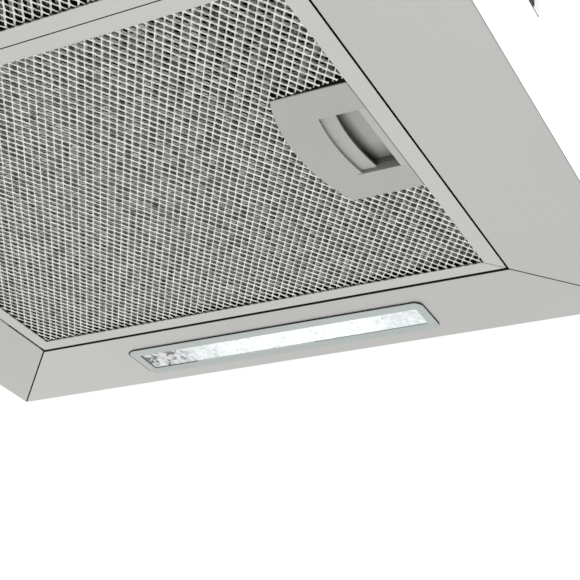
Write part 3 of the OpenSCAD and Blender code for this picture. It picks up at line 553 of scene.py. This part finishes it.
def strands(layer, rng):
    """Start and end points of every strand of one sheet of expanded metal."""
    height, turned_round, offset, _, _, _ = layer
    low = np.array([FILTER_X[0], FILTER_Y[0]]) + INSET
    high = np.array([FILTER_X[1], FILTER_Y[1]]) - INSET
    across, up = CELL_X, CELL_Y / 2
    size = high - low + 2 * LAY
    if turned_round:
        size = size[::-1]
    cols, rows = int(size[0] / across) + 2, int(size[1] / up) + 1
    jitter = rng.uniform(-1, 1, (rows + 1, cols + 1, 3)) * np.array(JITTER) * MM
    starts, ends = [], []
    for j in range(rows):
        shift, shift_next = (j % 2) * across / 2, ((j + 1) % 2) * across / 2
        for i in range(cols):
            a = np.array([i * across + shift - across / 2, j * up, 0]) + jitter[j, i]
            for step in ((0, 1) if j % 2 else (-1, 0)):
                k = i + step
                if 0 <= k <= cols:
                    b = np.array([k * across + shift_next - across / 2, (j + 1) * up, 0])
                    b = b + jitter[j + 1, k]
                    starts.append(a)
                    ends.append(b)
    p, q = np.array(starts), np.array(ends)
    for r in (p, q):
        r[:, :2] += np.array(offset) - LAY
        if turned_round:
            r[:, [0, 1]] = r[:, [1, 0]]
        r += (low[0], low[1], height)
        from_middle = r[:, :2] - (low + high) / 2
        r[:, 0] += SKEW[0] * from_middle[:, 1]
        r[:, 1] += SKEW[1] * from_middle[:, 0]
    p, q = cut_to_frame(p, q, low, high)
    a_in, b_in = in_handle(p[:, 0], p[:, 1]), in_handle(q[:, 0], q[:, 1])
    keep = ~(a_in & b_in)
    p, q, a_in, b_in = p[keep], q[keep], a_in[keep], b_in[keep]
    lo_t, hi_t = np.zeros(len(p)), np.ones(len(p))  # the strand is cut where it meets the handle
    for _ in range(10):
        mid = (lo_t + hi_t) / 2
        m = p + (q - p) * mid[:, None]
        inside = in_handle(m[:, 0], m[:, 1])
        towards_start = np.where(a_in, ~inside, inside)
        hi_t = np.where(towards_start, mid, hi_t)
        lo_t = np.where(towards_start, lo_t, mid)
    begin, end = np.where(a_in, hi_t, 0.0), np.where(b_in, lo_t, 1.0)
    p, q = p + (q - p) * begin[:, None], p + (q - p) * end[:, None]
    keep = np.hypot(*(q - p)[:, :2].T) > 0.5 * MM
    return p[keep], q[keep]


def ribbons(p, q, layer, side):
    """The strands as tilted ribbons, wider at the knots."""
    _, turned_round, _, segments, w_knot, w_mid = layer
    d = q - p
    d[:, 2] = 0
    d /= np.linalg.norm(d, axis=1)[:, None]
    flat = np.stack([-d[:, 1], d[:, 0], np.zeros(len(d))], 1)
    lead = flat[:, 0] if turned_round else flat[:, 1]
    flat *= np.sign(lead)[:, None]
    up = np.array([0, 0, 1.0])
    wide = flat * math.cos(TILT) + up * math.sin(TILT)
    thick = -flat * math.sin(TILT) + up * math.cos(TILT)
    family = np.where(d[:, 0] * d[:, 1] > 0, *FAMILY)[:, None]
    rings = []
    for k in range(segments + 1):
        t = k / segments
        middle = math.sin(math.pi * t)
        c = p + (q - p) * t
        c[:, 2] -= SAG * middle
        half = family * (w_knot + (w_mid - w_knot) * middle) / 2
        rings.append([c + sw * wide * half + st * thick * HALF_THICK
                      for sw, st in ((-1, -1), (1, -1), (1, 1), (-1, 1))])
    verts = np.stack([v for ring in rings for v in ring], 1)  # strand, corner, xyz
    count = 4 * (segments + 1)
    pattern = []
    for k in range(segments):
        for c in range(4):
            n = (c + 1) % 4
            pattern.append((4 * k + c, 4 * k + n, 4 * k + 4 + n, 4 * k + 4 + c))
    pattern.append((3, 2, 1, 0))
    pattern.append(tuple(4 * segments + i for i in range(4)))
    faces = np.array(pattern)[None] + (np.arange(len(p)) * count)[:, None, None]
    verts = verts.reshape(-1, 3).copy()
    verts[:, 2] += UNDER
    faces = faces.reshape(-1, 4)
    if side < 0:
        verts[:, 0] *= -1
        faces = faces[:, ::-1]
    return verts, faces


def filter_sheets(side_name, side):
    """The three sheets of a filter; how much painted shade each strand gets is stored on its points."""
    rng = np.random.default_rng(20 + side)
    for index, layer in enumerate(LAYERS):
        p, q = strands(layer, rng)
        verts, faces = ribbons(p, q, layer, side)
        sheet = piece(f"filter_{side_name}_sheet_{index + 1}", verts.tolist(), faces.tolist(),
                      "filter_mesh", "filter_" + side_name, [f"filter_{side_name}_mesh"])
        at_knots, between, spread = SHEET_SHADE[index]
        along = np.sin(np.linspace(0, math.pi, layer[3] + 1))[None, :, None]
        shade_share = at_knots + between * along + rng.normal(0, spread, (len(p), 1, 1))
        shade_share = np.clip(np.broadcast_to(shade_share, (len(p), layer[3] + 1, 4)), 0, 1)
        depth = sheet.data.attributes.new("depth", "FLOAT", "POINT")
        depth.data.foreach_set("value", shade_share.ravel().astype(np.float32))


GROOVE_HALF, GROOVE_DEPTH = 0.2 * MM, 0.7 * MM


def mitre_grooves(side):
    """Thin blades laid across the frame's corners, which leave the mitre lines of its four strips."""
    verts, faces = [], []
    for x, dx in ((FILTER_X[0], 1), (FILTER_X[1], -1)):
        for y, dy in ((FILTER_Y[0], 1), (FILTER_Y[1], -1)):
            base = len(verts)
            for t in (-2 * MM, STRIP + 2 * MM):
                for n in (-GROOVE_HALF, GROOVE_HALF):
                    for z in (-1 * MM, GROOVE_DEPTH):
                        verts.append((side * (x + dx * t + n * dy), y + dy * t - n * dx, UNDER + z))
            order = ((0, 1, 3, 2), (4, 6, 7, 5), (0, 4, 5, 1), (2, 3, 7, 6), (0, 2, 6, 4), (1, 5, 7, 3))
            if side * dx * dy < 0:
                order = [f[::-1] for f in order]
            faces += [[base + i for i in f] for f in order]
    return verts, [], faces


def frame_rims(a, b):
    """The strips' lower edges, apart from the two that meet between the filters."""
    middle = abs(a.x) < MM and abs(b.x) < MM
    return near(a.z, UNDER) and near(b.z, UNDER) and (a - b).length > 0.004 and not middle


for side_name, side in SIDES.items():
    filter_sheets(side_name, side)
    softened(f"filter_{side_name}_frame", 0.65 * MM, 2, frame_rims, mitre_grooves(side))
    softened(f"filter_{side_name}_handle", 0.35 * MM, 2)
    softened(f"filter_{side_name}_latch", 0.3 * MM, 2)


WIRE, TURNS = 0.3 * MM, 8  # half the thickness of a spring's wire


def helix(name, x, y0, y1, z, radius, wire, turns, body, nodes):
    """A coil spring along Y, of round wire."""
    steps, ring = 16, 8
    verts, faces = [], []
    count = int(turns * steps)
    for i in range(count + 1):
        t = i / count
        a = 2 * math.pi * turns * t
        y = y0 + wire + (y1 - y0 - 2 * wire) * t
        c = Vector((x + radius * math.cos(a), y, z + radius * math.sin(a)))
        out = Vector((math.cos(a), 0, math.sin(a)))
        for k in range(ring):
            b = 2 * math.pi * k / ring
            verts.append(c + wire * (out * math.cos(b) + Vector((0, 1, 0)) * math.sin(b)))
    for i in range(count):
        for k in range(ring):
            n = (k + 1) % ring
            faces.append((i * ring + k, i * ring + n, (i + 1) * ring + n, (i + 1) * ring + k))
    faces += [list(range(ring))[::-1], [count * ring + k for k in range(ring)]]
    return piece(name, verts, faces, "spring_steel", body, nodes, smooth=True)


for side_name, side in SIDES.items():
    low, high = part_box(f"filter_{side_name}_springs")
    spring_r = (high.z - low.z) / 2
    for number, x in enumerate((low.x + spring_r, high.x - spring_r)):
        coil = helix(f"filter_{side_name}_coil_{number + 1}", x, low.y, high.y, (low.z + high.z) / 2,
                     spring_r - WIRE, WIRE, TURNS, "filter_" + side_name, [f"filter_{side_name}_springs"])
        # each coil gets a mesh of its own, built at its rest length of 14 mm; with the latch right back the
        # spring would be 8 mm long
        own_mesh(coil)


# ---------------------------------------------------------------- lamps

CORNER_STEPS = 8
FAINT = 0.42  # share of the glow near the ends of a lens
UNLIT_END, FAINT_REAR, FAINT_FRONT = 22 * MM, 58 * MM, 26 * MM  # lengths from the rear, rear and front end


def outline(width, length, radius):
    """Points round a rectangle with round corners."""
    points = []
    for quarter, (sx, sy) in enumerate(((1, 1), (-1, 1), (-1, -1), (1, -1))):
        for i in range(CORNER_STEPS + 1):
            a = math.pi / 2 * (quarter + i / CORNER_STEPS)
            points.append((sx * (width / 2 - radius) + radius * math.cos(a),
                           sy * (length / 2 - radius) + radius * math.sin(a)))
    return points


def lamp_bezel(side_name, side):
    """A ring of loops from a dark rim round the outside, which stands for the shadow line round the bezel, to
    the walls of the lens opening.
    """
    # A loop, in mm: width, length, corner radius, height and, for the dark rim, its shift to the side and
    # rear.
    outer = lambda inset, z: (38.5 - 2 * inset, 241 - 2 * inset, 6 - inset, z)
    inner = lambda grow, z: (21 + 2 * grow, 227 + 2 * grow, 0.6 + grow, z)
    shadow_rim = lambda z: (39.0, 243, 6.3, z, 0.2, 0.8)
    # painted shade on the dark rim, the undercut, and one loop of the front end
    shaded_loops, shaded_in_front = (2, 3, 4, 5, 6), 7
    loops = [
        (30.5, 233, 3, 5.9), (30.5, 233, 3, 0.02), shadow_rim(0.02), shadow_rim(-0.07),
        outer(0.6, -0.07), outer(0.6, -0.56), outer(0, -0.58), outer(0, -0.95), outer(0.1, -1.1),
        outer(0.3, -1.2), inner(2.0, -1.2), inner(1.0, -1.12), inner(0.35, -0.85), inner(0.08, -0.4),
        inner(0.08, 1.15), inner(0.08, 5.9),
    ]
    verts, faces, dark = [], [], []
    count = 4 * (CORNER_STEPS + 1)
    for k, (w, l, r, z, *shift) in enumerate(loops):
        dx, dy = shift or (0, 0)
        for x, y in outline(w, l, r):
            verts.append((side * (LAMP_X + dx * MM) + x * MM, LAMP_Y + (y + dy) * MM, UNDER + z * MM))
            dark.append(float(k in shaded_loops or (k == shaded_in_front and y < 3 - l / 2)))
    for k in range(len(loops)):
        m = (k + 1) % len(loops)
        for i in range(count):
            j = (i + 1) % count
            faces.append((k * count + i, k * count + j, m * count + j, m * count + i))
    obj = piece(f"lamp_{side_name}_bezel_shape", verts, faces, "lamp_bezel", "hood",
                [f"lamp_{side_name}_bezel"], smooth=True)
    shade = obj.data.attributes.new("shade", "FLOAT", "POINT")
    shade.data.foreach_set("value", dark)


def lamp_lens(side_name, side):
    """A pressed lens: irregular facets below, a flat back. It glows less near its ends."""
    rng = np.random.default_rng(5 + side)
    width, length = 20.9 * MM, 226.9 * MM
    nx, ny = 6, 64
    xs, ys = np.linspace(-width / 2, width / 2, nx + 1), np.linspace(-length / 2, length / 2, ny + 1)
    cx, cy = LAMP_X * side, LAMP_Y
    verts, faces = [], []
    for j, y in enumerate(ys):
        for i, x in enumerate(xs):
            rim_x, rim_y = i in (0, nx), j in (0, ny)
            jx = 0 if rim_x else rng.uniform(-1.0, 1.0) * MM
            jy = 0 if rim_y else rng.uniform(-1.0, 1.0) * MM
            z = -0.3 if rim_x or rim_y else rng.choice([-0.38, -0.1, 0.8, 1.1])
            verts.append((cx + x + jx, cy + y + jy, UNDER + z * MM))
    glow, tone = [], []
    for j in range(ny):
        for i in range(nx):
            a = j * (nx + 1) + i
            b, c, d = a + 1, a + nx + 2, a + nx + 1
            pair = ((a, c, b), (a, d, c)) if (i + j) % 2 else ((a, d, b), (b, d, c))
            for tri in pair:
                faces.append(tri)
                y = sum(verts[k][1] for k in tri) / 3 - cy
                lit = min(FAINT, max(0.0, (length / 2 - UNLIT_END - y) / (50 * MM)))
                inward = min(length / 2 - FAINT_REAR - y, y + length / 2 - FAINT_FRONT)
                lit += (1 - FAINT) * min(1.0, max(0.0, inward / (12 * MM)))
                spark = rng.uniform(0.7, 1.0) if rng.uniform() > 0.12 else rng.uniform(0.4, 0.6)
                glow.append(lit * spark)
                # painted light: a facet's tone is raised where the lens glows
                tone.append(max(rng.choice([0.1, 0.65, 0.95, 1.0]), min(0.8, 1.9 * lit)))
    base = len(verts)
    rim = ([(0, i) for i in range(nx + 1)] + [(j, nx) for j in range(1, ny + 1)]
           + [(ny, i) for i in range(nx - 1, -1, -1)] + [(j, 0) for j in range(ny - 1, 0, -1)])
    rim = [j * (nx + 1) + i for j, i in rim]
    verts += [(verts[k][0], verts[k][1], UNDER + 3.6 * MM) for k in rim]
    for k in range(len(rim)):
        n = (k + 1) % len(rim)
        faces.append((rim[k], rim[n], base + n, base + k))
        glow.append(0.3)
    faces.append(tuple(range(base, base + len(rim))))
    glow.append(0.5)
    tone += [0.5] * (len(glow) - len(tone))
    obj = piece(f"lamp_{side_name}_facets", verts, faces, "lamp_lens", "hood", [f"lamp_{side_name}_lens"])
    for label, values in (("glow", glow), ("tone", tone)):
        stored = obj.data.attributes.new(label, "FLOAT", "FACE")
        stored.data.foreach_set("value", np.array(values, np.float32))


for side_name, side in SIDES.items():
    lamp_bezel(side_name, side)
    lamp_lens(side_name, side)


# ---------------------------------------------------------------- controls

def panel_rim(a, b):
    """The edges of the control panel's face."""
    return near(a.y, PANEL_FACE) and near(b.y, PANEL_FACE)


def button_rim(a, b):
    """The edges of a button's face, which stands proud of the panel."""
    return max(a.y, b.y) < PANEL_FACE - 0.6 * MM


softened("control_bezel", 0.3 * MM, 3)
softened("control_panel", 0.4 * MM, 3, panel_rim)
for number in range(1, 6):
    softened(f"button_{number}", 0.6 * MM, 3, button_rim)


# ---------------------------------------------------------------- camera, light, floor

# Low in front of the hood, to its left, looking up. The angles, in degrees, turn a camera that looks
# straight down about X, then Y, then Z.
CAMERA_AT = (-0.42426, -0.46378, -0.61004)
CAMERA_TURN = (119.1005, -5.0063, -61.883)
FLOOR_HALF, FLOOR_Z = 9, -3
camera_data = bpy.data.cameras.new("camera")
camera_data.lens, camera_data.sensor_width = 86.12, 36.0
camera = bpy.data.objects.new("camera", camera_data)
scene.collection.objects.link(camera)
turn = Euler([math.radians(angle) for angle in CAMERA_TURN])
camera.matrix_world = Matrix.LocRotScale(Vector(CAMERA_AT), turn, None)
scene.camera = camera


def studio_lamp(name, location, target, size, power):
    """A soft square light aimed at a point."""
    data = bpy.data.lights.new(name, "AREA")
    data.shape, data.size, data.energy = "SQUARE", size, power
    obj = bpy.data.objects.new(name, data)
    scene.collection.objects.link(obj)
    obj.location = location
    obj.rotation_euler = (Vector(target) - Vector(location)).to_track_quat("-Z", "Y").to_euler()
    obj.visible_camera = False


studio_lamp("key", (-2.4, -2.0, 0.4), (0, 0, -0.1), 2.0, 60)
studio_lamp("front", (2.4, -1.15, 1.8), (0.15, -0.26, -0.12), 1.7, 26)
studio_lamp("rear", (1.6, 2.4, 1.8), (0, 0, 0), 2.0, 22)

floor_mesh = bpy.data.meshes.new("floor")
floor_mesh.from_pydata([(x * FLOOR_HALF, y * FLOOR_HALF, FLOOR_Z)
                        for x, y in ((-1, -1), (1, -1), (1, 1), (-1, 1))], [], [(0, 1, 2, 3)])
floor = bpy.data.objects.new("floor", floor_mesh)
scene.collection.objects.link(floor)
floor_mesh.materials.append(plastic("floor_paint", (0.81, 0.81, 0.803), 0.7, 0.0005, 60.0, 0.01))

world = bpy.data.worlds.new("studio")
scene.world = world
world.use_nodes = True
world.node_tree.nodes["Background"].inputs["Color"].default_value = (1, 1, 1, 1)
world.node_tree.nodes["Background"].inputs["Strength"].default_value = 1.0
scene.view_settings.view_transform = "Standard"
